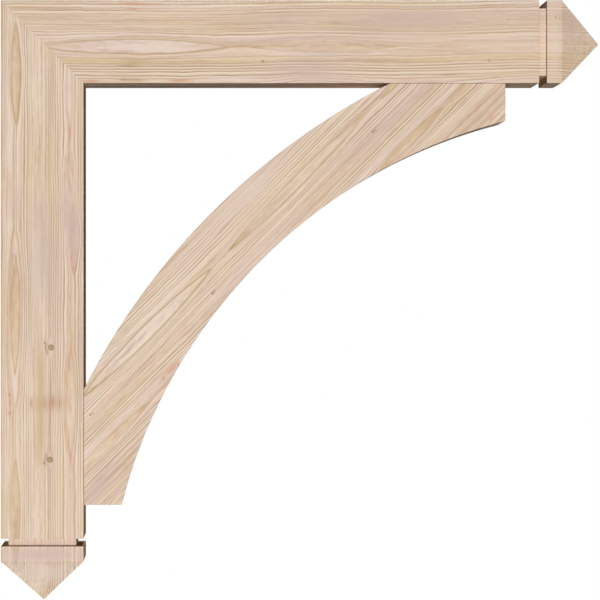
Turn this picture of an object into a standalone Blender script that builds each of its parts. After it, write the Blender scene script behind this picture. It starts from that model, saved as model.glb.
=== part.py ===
"""A wooden corbel bracket: a post and a beam mitred at the corner, with a sawn curved brace between them.

Run it with blender --background --python part.py, or from Blender's text editor. Lengths are in metres.
+X runs out from the wall along the beam, +Z is up, and Y is across the timbers. The origin is on the wall
face of the post, level with the middle of the beam.
"""

import math

import bmesh
import bpy
from mathutils import Vector

INCH = 0.0254

# The bracket as a whole.
REACH = 40.0 * INCH  # wall face to the point of the beam
DROP = 40.0 * INCH  # top of the beam to the point of the post
THICKNESS = 5.5 * INCH  # all three timbers, across the bracket
POST_DEPTH = 5.5 * INCH  # wall face to the inner face of the post
BEAM_HEIGHT = 5.5 * INCH  # top face to the underside of the beam

# The free end of the post and of the beam: a groove all round, a plain collar, then a four-sided point.
GROOVE_WIDTH = 0.5 * INCH
GROOVE_DEPTH = 0.5 * INCH
COLLAR_LENGTH = 1.0 * INCH
POINT_LENGTH = 2.75 * INCH

# The brace. A seat is the length that it bears on the post or on the beam.
OVERHANG = 2.25 * INCH  # timber left between the brace's end and the groove
SEAT_LENGTH = 7.65 * INCH
TOE_WIDTH = 2.5 * INCH  # the square cut at each end of the brace
INNER_RISE = 2.3 * INCH  # height of the arc on the corner side, above its chord
OUTER_RISE = 4.92 * INCH  # height of the arc on the open side, above its chord
ARC_STEPS = 48

JOINT_GAP = 0.0003  # kept between timbers that bear on each other

# What follows from those sizes. Places are measured from the outer corner of the mitre.
END_LENGTH = GROOVE_WIDTH + COLLAR_LENGTH + POINT_LENGTH
BRACE_REACH = REACH - END_LENGTH - OVERHANG
BRACE_DROP = DROP - END_LENGTH - OVERHANG
CORNER_HEIGHT = BEAM_HEIGHT / 2  # the outer corner, above the origin

# Base colours in linear light, worked out from sRGB values of the freshly planed timber.
POST_COLOUR = (0.655, 0.509, 0.376)
BEAM_COLOUR = (0.651, 0.497, 0.366)
BRACE_COLOUR = (0.665, 0.509, 0.381)
PLANED_ROUGHNESS = 0.55


def clear_scene():
    """Removes every object, so that only the bracket is left."""
    for obj in list(bpy.data.objects):
        bpy.data.objects.remove(obj, do_unlink=True)


def planed_wood(name, colour):
    """An unfinished planed softwood of that colour."""
    material = bpy.data.materials.new(name)
    material.use_nodes = True
    shader = material.node_tree.nodes["Principled BSDF"]
    shader.inputs["Base Color"].default_value = (*colour, 1.0)
    shader.inputs["Roughness"].default_value = PLANED_ROUGHNESS
    shader.inputs["Metallic"].default_value = 0.0
    material.diffuse_color = (*colour, 1.0)
    return material


def add_timber(name, mesh, material, corner):
    """Links a mesh as one named timber whose origin is the outer corner of the mitre."""
    timber = bpy.data.objects.new(name, mesh)
    timber.data.materials.append(material)
    timber.parent = corner
    bpy.context.scene.collection.objects.link(timber)
    return timber


def finish_mesh(name, bm):
    """Turns the faces outwards and stores the shape as a mesh."""
    bmesh.ops.recalc_face_normals(bm, faces=bm.faces)
    mesh = bpy.data.meshes.new(name)
    bm.to_mesh(mesh)
    bm.free()
    return mesh


def arm_mesh(name, length, depth, other_depth, set_back):
    """A timber along +X from the outer corner, with its outer face at Z 0 and its inner face at Z -depth.

    The mitre runs from the outer corner to the inner one, which is other_depth away along X. set_back
    moves the whole mitre face along X, to leave the joint's gap.
    """
    groove = length - END_LENGTH
    collar = groove + GROOVE_WIDTH
    point = collar + COLLAR_LENGTH
    bm = bmesh.new()

    def section(x_outer, x_inner, inset):
        """Four corners round the timber, drawn in by inset from each face."""
        half = THICKNESS / 2 - inset
        outer, inner = -inset, inset - depth
        return [
            bm.verts.new((x_outer, -half, outer)),
            bm.verts.new((x_outer, half, outer)),
            bm.verts.new((x_inner, half, inner)),
            bm.verts.new((x_inner, -half, inner)),
        ]

    sections = [
        section(set_back, set_back + other_depth, 0.0),
        section(groove, groove, 0.0),
        section(groove, groove, GROOVE_DEPTH),
        section(collar, collar, GROOVE_DEPTH),
        section(collar, collar, 0.0),
        section(point, point, 0.0),
    ]
    bm.faces.new(sections[0])
    for near, far in zip(sections, sections[1:]):
        for i in range(4):
            j = (i + 1) % 4
            bm.faces.new((near[i], near[j], far[j], far[i]))
    apex = bm.verts.new((length, 0.0, -depth / 2))
    last = sections[-1]
    for i in range(4):
        bm.faces.new((last[i], last[(i + 1) % 4], apex))
    return finish_mesh(name, bm)


def arc_points(start, end, rise):
    """Points of the arc from start to end, which bulges to the left of that direction by rise."""
    chord = end - start
    half = chord.length / 2
    radius = (half * half + rise * rise) / (2 * rise)
    across = Vector((-chord.y, chord.x)).normalized()
    centre = (start + end) / 2 + across * (rise - radius)
    first = math.atan2(start.y - centre.y, start.x - centre.x)
    sweep = 4 * math.atan2(rise, half)
    turns = [first - sweep * i / ARC_STEPS for i in range(ARC_STEPS + 1)]
    return [centre + radius * Vector((math.cos(t), math.sin(t))) for t in turns]


def brace_outline():
    """The brace's outline in X and Z, from the outer corner: both arcs, both seats and both square ends."""
    post_face = POST_DEPTH + JOINT_GAP
    beam_face = -BEAM_HEIGHT - JOINT_GAP
    inner_low = Vector((post_face, -(BRACE_DROP - SEAT_LENGTH)))
    inner_high = Vector((BRACE_REACH - SEAT_LENGTH, beam_face))
    outer_low = Vector((POST_DEPTH + TOE_WIDTH, -BRACE_DROP))
    outer_high = Vector((BRACE_REACH, -BEAM_HEIGHT - TOE_WIDTH))
    corner_side = arc_points(inner_low, inner_high, INNER_RISE)
    open_side = arc_points(outer_low, outer_high, OUTER_RISE)
    top_end = Vector((BRACE_REACH, beam_face))
    bottom_end = Vector((post_face, -BRACE_DROP))
    return corner_side + [top_end] + open_side[::-1] + [bottom_end]


def brace_mesh(name):
    """The brace's outline drawn out across the bracket."""
    bm = bmesh.new()
    outline = [bm.verts.new((p.x, -THICKNESS / 2, p.y)) for p in brace_outline()]
    side = bm.faces.new(outline)
    drawn = bmesh.ops.extrude_face_region(bm, geom=[side])
    moved = [v for v in drawn["geom"] if isinstance(v, bmesh.types.BMVert)]
    bmesh.ops.translate(bm, verts=moved, vec=(0.0, THICKNESS, 0.0))
    return finish_mesh(name, bm)


def build_beam(corner):
    """The level timber, along the top. It is cut back by the mitre's gap."""
    slope = math.hypot(POST_DEPTH, BEAM_HEIGHT) / BEAM_HEIGHT
    mesh = arm_mesh("beam", REACH, BEAM_HEIGHT, POST_DEPTH, JOINT_GAP * slope)
    return add_timber("beam", mesh, planed_wood("beam_wood", BEAM_COLOUR), corner)


def build_post(corner):
    """The upright timber, made as the beam is, then turned half round about a line that halves the corner."""
    mesh = arm_mesh("post", DROP, POST_DEPTH, BEAM_HEIGHT, 0.0)
    post = add_timber("post", mesh, planed_wood("post_wood", POST_COLOUR), corner)
    post.rotation_mode = "AXIS_ANGLE"
    post.rotation_axis_angle = (math.pi, 1.0, 0.0, -1.0)
    return post


def build_brace(corner):
    """The curved timber between them, flush with both on both sides."""
    return add_timber("brace", brace_mesh("brace"), planed_wood("brace_wood", BRACE_COLOUR), corner)


def main():
    """Builds the bracket on an empty at the outer corner of the mitre."""
    clear_scene()
    corner = bpy.data.objects.new("outer_corner", None)
    corner.location = (0.0, 0.0, CORNER_HEIGHT)
    bpy.context.scene.collection.objects.link(corner)
    build_post(corner)
    build_beam(corner)
    build_brace(corner)


main()
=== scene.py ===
"""Dresses a timber corbel bracket: a post and a beam mitred at the corner, with an arched brace between them.

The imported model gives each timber's place and outer size. Each timber here stands for its solid, with eased
arrises, and is sawn out of a wood whose figure runs right through it. Places in the wood are in inches, as
along, across and deep: with the grain, over the front face, and from the front face to the back.
"""

import logging
import math
from dataclasses import dataclass, field
from enum import Enum

import bmesh
import bpy
from mathutils import Matrix, Vector


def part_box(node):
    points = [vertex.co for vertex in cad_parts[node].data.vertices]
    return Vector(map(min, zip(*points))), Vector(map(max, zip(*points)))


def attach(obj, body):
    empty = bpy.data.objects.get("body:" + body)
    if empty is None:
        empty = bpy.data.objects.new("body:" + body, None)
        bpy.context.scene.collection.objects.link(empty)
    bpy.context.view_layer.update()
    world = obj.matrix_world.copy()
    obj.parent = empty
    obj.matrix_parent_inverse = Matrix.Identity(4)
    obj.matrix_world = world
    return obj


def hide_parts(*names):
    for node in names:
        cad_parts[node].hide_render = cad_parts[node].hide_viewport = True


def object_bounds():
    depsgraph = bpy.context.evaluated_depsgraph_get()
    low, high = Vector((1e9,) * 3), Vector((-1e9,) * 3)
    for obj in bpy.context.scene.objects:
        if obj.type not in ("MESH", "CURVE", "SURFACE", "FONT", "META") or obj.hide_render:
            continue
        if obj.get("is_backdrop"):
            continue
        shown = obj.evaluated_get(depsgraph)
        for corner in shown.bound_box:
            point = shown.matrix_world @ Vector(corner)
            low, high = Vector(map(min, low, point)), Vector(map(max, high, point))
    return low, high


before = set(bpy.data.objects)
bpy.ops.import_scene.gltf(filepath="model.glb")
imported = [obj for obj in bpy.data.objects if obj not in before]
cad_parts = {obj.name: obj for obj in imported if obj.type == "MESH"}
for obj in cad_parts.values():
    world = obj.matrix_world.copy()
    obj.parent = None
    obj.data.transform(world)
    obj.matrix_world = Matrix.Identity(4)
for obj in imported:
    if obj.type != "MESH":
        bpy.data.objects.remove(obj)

LOG = logging.getLogger("bracket")
INCH = 0.0254
MM = 0.001
BODY = "root"
FLOAT = "NodeSocketFloat"
MATH = "ShaderNodeMath"
VECTOR = "ShaderNodeVectorMath"
Source = bpy.types.Node | bpy.types.NodeSocket  # what feeds an input: a socket, or a node's first output


class Tone(Enum):
    """The colours of freshly sanded softwood, and of the floor, as sRGB hex."""

    CREAM = "#ECD6BF"
    PALE_PINK = "#EBD4C6"
    ROSE = "#DFC0AB"
    BUFF = "#E0C4A9"
    TAN = "#DABA96"
    OLIVE = "#DABF92"
    MAUVE = "#D1B7AA"
    RUSSET = "#D69F7C"
    EARLYWOOD = "#F5E2CB"
    LATEWOOD = "#A67A50"
    LATEWOOD_GOLD = "#B5935A"
    KNOT = "#7A5F3B"
    KNOT_HEART = "#B4955F"
    END_GRAIN = "#B99A78"
    FLOOR_PAINT = "#595959"
    FLOOR_GLOW = "#FFFEFC"


def linear(tone: Tone) -> tuple[float, ...]:
    """Turns a tone's sRGB hex into linear light.

    Args:
        tone: The colour to turn.

    Returns:
        Red, green, blue and an alpha of one.
    """
    parts = [int(tone.value[i : i + 2], 16) / 255 for i in (1, 3, 5)]
    return (*(c / 12.92 if c <= 0.04045 else ((c + 0.055) / 1.055) ** 2.4 for c in parts), 1.0)


def output(value: object) -> object:
    """Gives a node's first open output, and anything else as it is."""
    return next(s for s in value.outputs if s.enabled) if isinstance(value, bpy.types.Node) else value


def add(
    tree: bpy.types.NodeTree,
    kind: str,
    inputs: dict | tuple | None = None,
    operation: str = "",
    points: list[tuple[float, float]] | None = None,
    stops: list[tuple[float, Tone]] | None = None,
    **settings: object,
) -> bpy.types.Node:
    """Adds one node with its settings and its links.

    Args:
        tree: The node tree that takes it.
        kind: Blender's name for the node's type.
        inputs: What each input holds, by name or in order: a source or a value.
        operation: What a maths node works out.
        points: Where a curve's straight pieces meet, from 0 to 1 both ways.
        stops: Where a ramp's colours lie, from 0 to 1.
        **settings: The node's own properties.

    Returns:
        The new node.
    """
    node = tree.nodes.new(kind)
    if operation:
        node.operation = operation
    for name, value in settings.items():
        setattr(node, name, value)
    named = dict(enumerate(inputs)) if isinstance(inputs, tuple) else inputs or {}
    for name, value in named.items():
        if isinstance(name, int):
            socket = node.inputs[name]
        else:
            socket = next(s for s in node.inputs if s.name == name and s.enabled)
        value = output(value)
        if isinstance(value, bpy.types.NodeSocket):
            tree.links.new(value, socket)
        else:
            socket.default_value = value
    if points:
        curve = node.mapping.curves[0]
        for _ in points[2:]:
            curve.points.new(0.5, 0.5)
        for spot, place in zip(curve.points, points):
            spot.location = place
            spot.handle_type = "VECTOR"
        node.mapping.update()
    if stops:
        for _ in stops[2:]:
            node.color_ramp.elements.new(0.5)
        for stop, (place, tone) in zip(node.color_ramp.elements, stops):
            stop.position = place
            stop.color = linear(tone)
    return node


def new_group(name: str, kind: str, inputs: dict[str, str], outputs: dict[str, str]) -> bpy.types.NodeTree:
    """Starts a node group with its sockets.

    Args:
        name: The group's name.
        kind: Blender's name for the tree's type.
        inputs: Socket types by name.
        outputs: Socket types by name.

    Returns:
        The empty group.
    """
    group = bpy.data.node_groups.new(name, kind)
    for sockets, way in ((inputs, "INPUT"), (outputs, "OUTPUT")):
        for label, socket in sockets.items():
            group.interface.new_socket(label, in_out=way, socket_type=socket)
    return group


@dataclass(frozen=True)
class Ring:
    """The dark edge of a growth ring, where it crosses the front face.

    Attributes:
        across: Inches across.
        depth: How dark its line is, from 0 to 1.
    """

    across: float
    depth: float


@dataclass(frozen=True)
class Band:
    """A tone that the wood passes through, at a place in inches across."""

    across: float
    tone: Tone


@dataclass(frozen=True)
class Lens:
    """A long closed figure, where the saw ran along the crest of a ring. The lines part and flow round it.

    One with neither fill nor edge shows only in the way that the lines run.

    Attributes:
        along: Its middle, in inches along.
        across: Its middle, in inches across.
        half_length: From its middle to its tip, in inches.
        half_width: From its middle to its rim, in inches.
        core: The tone inside.
        fill: How much that tone shows, from 0 to 1.
        rim: The tone of its outline.
        edge: How much the outline shows, from 0 to 1.
        taper: 1 for pointed tips, less for rounder ones, and more for a swell that fades out.
        nested: Whether it lies inside the lens before it, which parts the lines for both.
    """

    along: float
    across: float
    half_length: float
    half_width: float
    core: Tone = Tone.TAN
    fill: float = 0.7
    rim: Tone = Tone.LATEWOOD_GOLD
    edge: float = 0.8
    taper: float = 0.75
    nested: bool = False


@dataclass(frozen=True)
class Knot:
    """A pin knot or a resin fleck.

    Attributes:
        along: Inches along.
        across: Inches across.
        radius: In inches.
        strength: How much it shows, from 0 to 1.
    """

    along: float
    across: float
    radius: float
    strength: float = 1.0


@dataclass(frozen=True)
class Patch:
    """A soft patch of another tone. Most are the wood's own tone; the pale ones on the post's point are
    painted light, and the mauve ones on its collar are partly painted shade.

    Attributes:
        along: Its middle, in inches along.
        across: Its middle, in inches across.
        length: How far it reaches each way along, in inches.
        width: How far it reaches each way across, in inches.
        tone: Its tone.
        strength: How much it shows, from 0 to 1.
    """

    along: float
    across: float
    length: float
    width: float
    tone: Tone
    strength: float


@dataclass(frozen=True)
class Figure:
    """What one timber's wood shows.

    Attributes:
        span: The first and last place across that the timber takes up, in inches.
        rings: The rings whose edges show, in order.
        bands: The broad tones, in order.
        lenses: Its closed figures, an outer one before what lies inside it.
        knots: Its pin knots and flecks.
        patches: Its soft patches, under the rings.
        veils: The soft patches that lie over the rings and soften them.
        seed: Moves the random part.
        fibre: How strongly its fibres show.
    """

    span: tuple[float, float]
    rings: tuple[Ring, ...]
    bands: tuple[Band, ...]
    lenses: tuple[Lens, ...]
    knots: tuple[Knot, ...]
    patches: tuple[Patch, ...]
    veils: tuple[Patch, ...]
    seed: float
    fibre: float = 1.0


@dataclass(frozen=True)
class GrainFrame:
    """Which way a timber's grain runs, in the model's own axes.

    Attributes:
        origin: Where along, across and deep are counted from, in metres.
        along: Unit vector with the grain.
        across: Unit vector over the front face.
        deep: Unit vector from the front face to the back.
    """

    origin: Vector
    along: Vector
    across: Vector
    deep: Vector

    def point(self, along: float, across: float, deep: float) -> Vector:
        """The place in metres of a point given in inches."""
        return self.origin + (self.along * along + self.across * across + self.deep * deep) * INCH


class FigureGroups:
    """The shader groups that draw a single lens, knot or patch in any timber."""

    PLACE = {"Along": FLOAT, "Across": FLOAT, "At": FLOAT, "Over": FLOAT}
    SPREAD = 1.4  # how far beyond a lens its lines still bend, in half widths
    SOFT_EDGE = 0.05  # inches over which a lens's inside begins
    RIM_WIDTH = 0.14  # inches that its outline takes, inwards
    RIM_DEPTH = 1.4  # how far its outline is deepened
    DISC_EDGE = {"From Min": 1.15, "From Max": 0.85}  # where a knot's disc ends, in its radii
    # A knot's pith and its dark edge: each place in its diameters from the middle, and how dark it is there.
    KNOT_RINGS = (
        (0.0, 0.9), (0.1, 0.6), (0.2, 0.1), (0.32, 0.25), (0.44, 0.95), (0.5, 0.75), (0.62, 0.0), (1.0, 0.0)
    )

    def __init__(self) -> None:
        """Builds the three groups."""
        self.lens = self._lens()
        self.knot = self._knot()
        self.patch = self._patch()

    def _lens(self) -> bpy.types.NodeTree:
        """Builds the lens: how it bends the lines, its inside and its outline.

        Returns:
            The group.
        """
        sizes = {"Half Length": FLOAT, "Half Width": FLOAT, "Taper": FLOAT}
        drawn = {"Across": FLOAT, "Inside": FLOAT, "Rim": FLOAT}
        tree = new_group("lens_figure", "ShaderNodeTree", self.PLACE | sizes, drawn)
        given = add(tree, "NodeGroupInput").outputs
        reach = add(tree, MATH, (given["Along"], given["At"]), "SUBTRACT")
        reach = add(tree, MATH, (reach, given["Half Length"]), "DIVIDE")
        reach = add(tree, MATH, (reach, reach), "MULTIPLY")
        swell = add(tree, MATH, (1.0, reach), "SUBTRACT", use_clamp=True)
        swell = add(tree, MATH, (swell, given["Taper"]), "POWER")
        swell = add(tree, MATH, (swell, given["Half Width"]), "MULTIPLY")
        offset = add(tree, MATH, (given["Across"], given["Over"]), "SUBTRACT")
        side = add(tree, MATH, (offset,), "SIGN")
        away = add(tree, MATH, (offset,), "ABSOLUTE")
        inward = add(tree, MATH, (swell, away), "SUBTRACT")
        beyond = add(tree, MATH, (inward, -1.0), "MULTIPLY", use_clamp=True)
        spread = add(tree, MATH, (given["Half Width"], self.SPREAD), "MULTIPLY")
        fade = add(tree, MATH, (beyond, spread), "DIVIDE")
        fade = add(tree, MATH, (1.0, fade), "SUBTRACT", use_clamp=True)
        fade = add(tree, MATH, (fade, fade), "MULTIPLY")
        push = add(tree, MATH, (swell, fade), "MULTIPLY")
        bent = add(tree, MATH, (away, push), "SUBTRACT")
        bent = add(tree, MATH, (bent, 0.0), "MAXIMUM")
        bent = add(tree, MATH, (bent, side, given["Over"]), "MULTIPLY_ADD")
        inside = add(tree, MATH, (inward, 1 / self.SOFT_EDGE), "MULTIPLY", use_clamp=True)
        inner = add(tree, MATH, (inward, -1 / self.RIM_WIDTH, 1.0), "MULTIPLY_ADD")
        inner = add(tree, MATH, (inner, 0.0), "MAXIMUM")
        rim = add(tree, MATH, (inside, inner), "MULTIPLY")
        rim = add(tree, MATH, (rim, self.RIM_DEPTH), "MULTIPLY", use_clamp=True)
        add(tree, "NodeGroupOutput", {"Across": bent, "Inside": inside, "Rim": rim})
        return tree

    def _knot(self) -> bpy.types.NodeTree:
        """Builds the knot: its disc, and its dark edge and pith.

        Returns:
            The group.
        """
        tree = new_group(
            "pin_knot", "ShaderNodeTree", self.PLACE | {"Radius": FLOAT}, {"Disc": FLOAT, "Edge": FLOAT}
        )
        given = add(tree, "NodeGroupInput").outputs
        along = add(tree, MATH, (given["Along"], given["At"]), "SUBTRACT")
        over = add(tree, MATH, (given["Across"], given["Over"]), "SUBTRACT")
        away = add(tree, "ShaderNodeCombineXYZ", {"X": along, "Y": over})
        away = add(tree, VECTOR, (away,), "LENGTH")
        away = add(tree, MATH, (away, given["Radius"]), "DIVIDE")
        disc = add(tree, "ShaderNodeMapRange", {"Value": away} | self.DISC_EDGE)
        half = add(tree, MATH, (away, 0.5), "MULTIPLY")
        edge = add(tree, "ShaderNodeFloatCurve", {"Value": half}, points=list(self.KNOT_RINGS))
        add(tree, "NodeGroupOutput", {"Disc": disc, "Edge": edge})
        return tree

    def _patch(self) -> bpy.types.NodeTree:
        """Builds the patch, a bell both ways.

        Returns:
            The group.
        """
        tree = new_group(
            "tone_patch", "ShaderNodeTree", self.PLACE | {"Length": FLOAT, "Width": FLOAT}, {"Cover": FLOAT}
        )
        given = add(tree, "NodeGroupInput").outputs
        total = 0.0
        for place, middle, reach in (("Along", "At", "Length"), ("Across", "Over", "Width")):
            away = add(tree, MATH, (given[place], given[middle]), "SUBTRACT")
            away = add(tree, MATH, (away, given[reach]), "DIVIDE")
            total = add(tree, MATH, (away, away, total), "MULTIPLY_ADD")
        bell = add(tree, MATH, (total, -1.0), "MULTIPLY")
        bell = add(tree, MATH, (bell,), "EXPONENT")
        add(tree, "NodeGroupOutput", {"Cover": bell})
        return tree


class FigureDrawing:
    """Draws one timber's figure in its material's node tree.

    Attributes:
        tree: The material's tree.
        groups: The groups that draw single figures.
        grain: Which way the grain runs.
        figure: What the wood shows.
        along: Inches along.
        deep: Inches deep.
        seen: Inches across, where the ring through a point meets the front face, as the grain wanders.
        moved: Inches along, as the figures drift with depth.
        flow: Inches across, as the lines part round the knots and the lenses.
        share: How far that is through the timber's span, from 0 to 1.
        marks: Each lens with its node.
    """

    PITH = (-8.0, 0.0)  # the tree's middle, inches across from the span's start and deep
    DRIFT = -0.8  # inches that a figure moves along for each inch deep, as a branch rises
    KNOT_FLOW = (5.0, 0.9)  # half the length and half the width of the parting round a knot, in its radii
    # A ring's edge, in inches: the wood darkens over the first width, is pale again after the second, and
    # that fades over the third.
    LATE_WIDTH = 0.15
    SHARP_WIDTH = 0.03
    EARLY_WIDTH = 0.17
    EARLY_COVER = 0.9  # how far the pale wood beside an edge covers
    # An edge fades and returns as it runs: the noise's cells to the inch, its start, and how far it fades.
    FADE_CELLS = (0.2, 2.2, 0.0)
    FADE_START = 91.0
    FADE_RANGE = {"From Min": 0.32, "From Max": 0.58, "To Min": 0.4}
    # How the grain wanders: cells to the inch along and across, and the reach in inches.
    WANDER = ((0.09, 0.2, 0.08), (0.4, 0.7, 0.07), (1.1, 1.5, 0.03))
    # Tracheids are 0.03 mm wide, far finer than the render shows, so the fibres are drawn as bundles: cells
    # to the inch along and across, and their share.
    FIBRES = ((0.14, 5.5, 0.62), (1.1, 13.0, 0.38))
    FIBRE_MIDDLE = 0.5  # where the fibres show neither darker nor paler
    # Each tone of the fibres, the value at which it shows most, and how far it covers there.
    FIBRE_TONES = ((Tone.LATEWOOD, 0.3, 0.5), (Tone.EARLYWOOD, 0.7, 0.55))
    STRAIGHT = 0.5  # how much the fibres keep to the straight run, beside the lines' flow
    # Slow changes of tone: the tone, cells to the inch along and across, and how far it covers.
    CLOUDS = ((Tone.MAUVE, 0.08, 0.5, 0.7), (Tone.OLIVE, 0.11, 0.8, 0.7), (Tone.ROSE, 0.2, 1.6, 0.6))
    CLOUD_RANGE = {"From Min": 0.46, "From Max": 0.68}
    APART = (10.0, 7.0, 3.0)  # cells that set each noise apart from the one before
    # How squarely a cut crosses the grain, as a cosine, and how far the end grain's tone covers there.
    END_RANGE = {"From Min": 0.75, "From Max": 0.98, "To Max": 0.75}

    def __init__(
        self, tree: bpy.types.NodeTree, groups: FigureGroups, grain: GrainFrame, figure: Figure
    ) -> None:
        """Reads where a point lies in the wood, and how the lines run there.

        Args:
            tree: The material's tree.
            groups: The groups that draw single figures.
            grain: Which way the grain runs.
            figure: What the wood shows.
        """
        self.tree, self.groups, self.grain, self.figure = tree, groups, grain, figure
        spot = add(tree, "ShaderNodeTexCoord").outputs["Object"]
        spot = add(tree, VECTOR, (spot, grain.origin), "SUBTRACT")
        self.along, across, self.deep = (
            add(tree, VECTOR, (spot, way / INCH), "DOT_PRODUCT")
            for way in (grain.along, grain.across, grain.deep)
        )
        self.seen = self._wander(self._through_depth(across))
        self.moved = add(tree, MATH, (self.deep, -self.DRIFT, self.along), "MULTIPLY_ADD")
        self.flow, self.marks = self._part()
        low, high = figure.span
        self.share = add(tree, "ShaderNodeMapRange", {"Value": self.flow, "From Min": low, "From Max": high})

    def _through_depth(self, across: Source) -> Source:
        """Follows the ring through a point to where it meets the front face.

        Args:
            across: Inches across.

        Returns:
            Inches across, on the front face.
        """
        tree = self.tree
        pith_across = self.figure.span[0] + self.PITH[0]
        pith_deep = self.PITH[1]
        over = add(tree, MATH, (across, pith_across), "SUBTRACT")
        under = add(tree, MATH, (self.deep, pith_deep), "SUBTRACT")
        square = add(tree, MATH, (over, over, -pith_deep * pith_deep), "MULTIPLY_ADD")
        square = add(tree, MATH, (under, under, square), "MULTIPLY_ADD")
        radius = add(tree, MATH, (square,), "SQRT")
        return add(tree, MATH, (radius, pith_across), "ADD")

    def _streaks(self, across: Source, cells: tuple[float, float], part: int, detail: float = 2.0) -> Source:
        """Draws a noise that is long with the grain.

        Args:
            across: Inches across.
            cells: Noise cells to the inch, along and across.
            part: Sets one noise apart from another.
            detail: How many finer layers it has.

        Returns:
            The noise, about a half.
        """
        spot = add(self.tree, "ShaderNodeCombineXYZ", {"X": self.along, "Y": across, "Z": self.deep})
        start = Vector(self.APART) * part + Vector((self.figure.seed, -self.figure.seed, 0.0))
        spot = add(self.tree, VECTOR, (spot, (*cells, cells[1]), start), "MULTIPLY_ADD")
        return add(self.tree, "ShaderNodeTexNoise", {"Vector": spot, "Scale": 1.0, "Detail": detail})

    def _wander(self, across: Source) -> Source:
        """Lets the grain wander from a straight run.

        Args:
            across: Inches across.

        Returns:
            Inches across, with the wander added.
        """
        for part, (*cells, reach) in enumerate(self.WANDER):
            noise = self._streaks(across, cells, part, detail=1.0)
            sway = add(self.tree, MATH, (noise, 2 * reach, -reach), "MULTIPLY_ADD")
            across = add(self.tree, MATH, (across, sway), "ADD")
        return across

    def _part(self) -> tuple[Source, list[tuple[Lens, bpy.types.Node]]]:
        """Parts the lines round the knots and the lenses.

        Returns:
            Inches across after that, and each lens with its node.
        """
        length, width = self.KNOT_FLOW
        around = [
            Lens(knot.along, knot.across, knot.radius * length, knot.radius * width, fill=0.0, edge=0.0)
            for knot in self.figure.knots
        ]
        across = self.seen
        marks = []
        for lens in (*around, *self.figure.lenses):
            source = self.seen if lens.nested else across
            places = {"Along": self.moved, "Across": source, "At": lens.along, "Over": lens.across}
            sizes = {"Half Length": lens.half_length, "Half Width": lens.half_width, "Taper": lens.taper}
            drawn = add(self.tree, "ShaderNodeGroup", places | sizes, node_tree=self.groups.lens)
            if not lens.nested:
                across = drawn.outputs["Across"]
            marks.append((lens, drawn))
        return across, marks

    def _lay(self, colour: Source, layers: list[tuple[Tone, Source]]) -> Source:
        """Lays tones over a colour, one after another.

        Args:
            colour: The colour under them.
            layers: Each tone, and how far it covers.

        Returns:
            The colour with them.
        """
        for tone, cover in layers:
            inputs = {"Factor": cover, "A": colour, "B": linear(tone)}
            colour = add(self.tree, "ShaderNodeMix", inputs, data_type="RGBA")
        return colour

    def _patches(self, patches: tuple[Patch, ...]) -> list[tuple[Tone, Source]]:
        """Draws soft patches.

        Args:
            patches: The patches, in order.

        Returns:
            Each one's tone, and how far it covers.
        """
        layers = []
        for patch in patches:
            places = {"Along": self.moved, "Across": self.seen, "At": patch.along, "Over": patch.across}
            sizes = {"Length": patch.length, "Width": patch.width}
            drawn = add(self.tree, "ShaderNodeGroup", places | sizes, node_tree=self.groups.patch)
            layers.append((patch.tone, add(self.tree, MATH, (drawn, patch.strength), "MULTIPLY")))
        return layers

    def tones(self) -> Source:
        """Lays the broad tones: bands, slow clouds, the lenses' insides and the patches under the rings.

        Returns:
            The colour so far.
        """
        tree = self.tree
        low, high = self.figure.span
        stops = [((band.across - low) / (high - low), band.tone) for band in self.figure.bands]
        colour = add(tree, "ShaderNodeValToRGB", {"Fac": self.share}, stops=stops)
        layers = []
        for part, (tone, *cells, amount) in enumerate(self.CLOUDS, start=len(self.WANDER)):
            limits = {"Value": self._streaks(self.flow, cells, part), "To Max": amount}
            layers.append((tone, add(tree, "ShaderNodeMapRange", self.CLOUD_RANGE | limits)))
        for lens, drawn in self.marks:
            if lens.fill:
                cover = add(tree, MATH, (drawn.outputs["Inside"], lens.fill), "MULTIPLY")
                layers.append((lens.core, cover))
        return self._lay(colour, layers + self._patches(self.figure.patches))

    def fibres(self) -> Source:
        """Draws the bundles of fibres between the rings.

        Returns:
            A value about a half.
        """
        total = 0.0
        between = add(self.tree, MATH, (self.seen, self.STRAIGHT, self.flow), "MULTIPLY_ADD")
        first = len(self.WANDER) + len(self.CLOUDS)
        for part, (lengthwise, crosswise, share) in enumerate(self.FIBRES, start=first):
            noise = self._streaks(between, (lengthwise, crosswise / (1 + self.STRAIGHT)), part)
            total = add(self.tree, MATH, (noise, share, total), "MULTIPLY_ADD")
        return total

    def rings(self) -> tuple[Source, Source]:
        """Draws the rings' edges, which leave the lenses' insides plain.

        Returns:
            How dark the latewood is and how pale the earlywood beside it, each from 0 to 1.
        """
        tree = self.tree
        low, high = self.figure.span
        rings = self.figure.rings
        count = len(rings) + 1
        edges = [low, *(ring.across for ring in rings), high]
        depths = [0.0, *(ring.depth for ring in rings), 0.0]
        gaps = [after - before for before, after in zip(edges, edges[1:])]
        widest = max(gaps)
        course = [((edge - low) / (high - low), i / count) for i, edge in enumerate(edges)]
        phase = add(tree, "ShaderNodeFloatCurve", {"Value": self.share}, points=course)
        phase = add(tree, MATH, (phase, float(count)), "MULTIPLY")
        ring = add(tree, MATH, (phase,), "FLOOR")
        part = add(tree, MATH, (phase, ring), "SUBTRACT")
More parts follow.
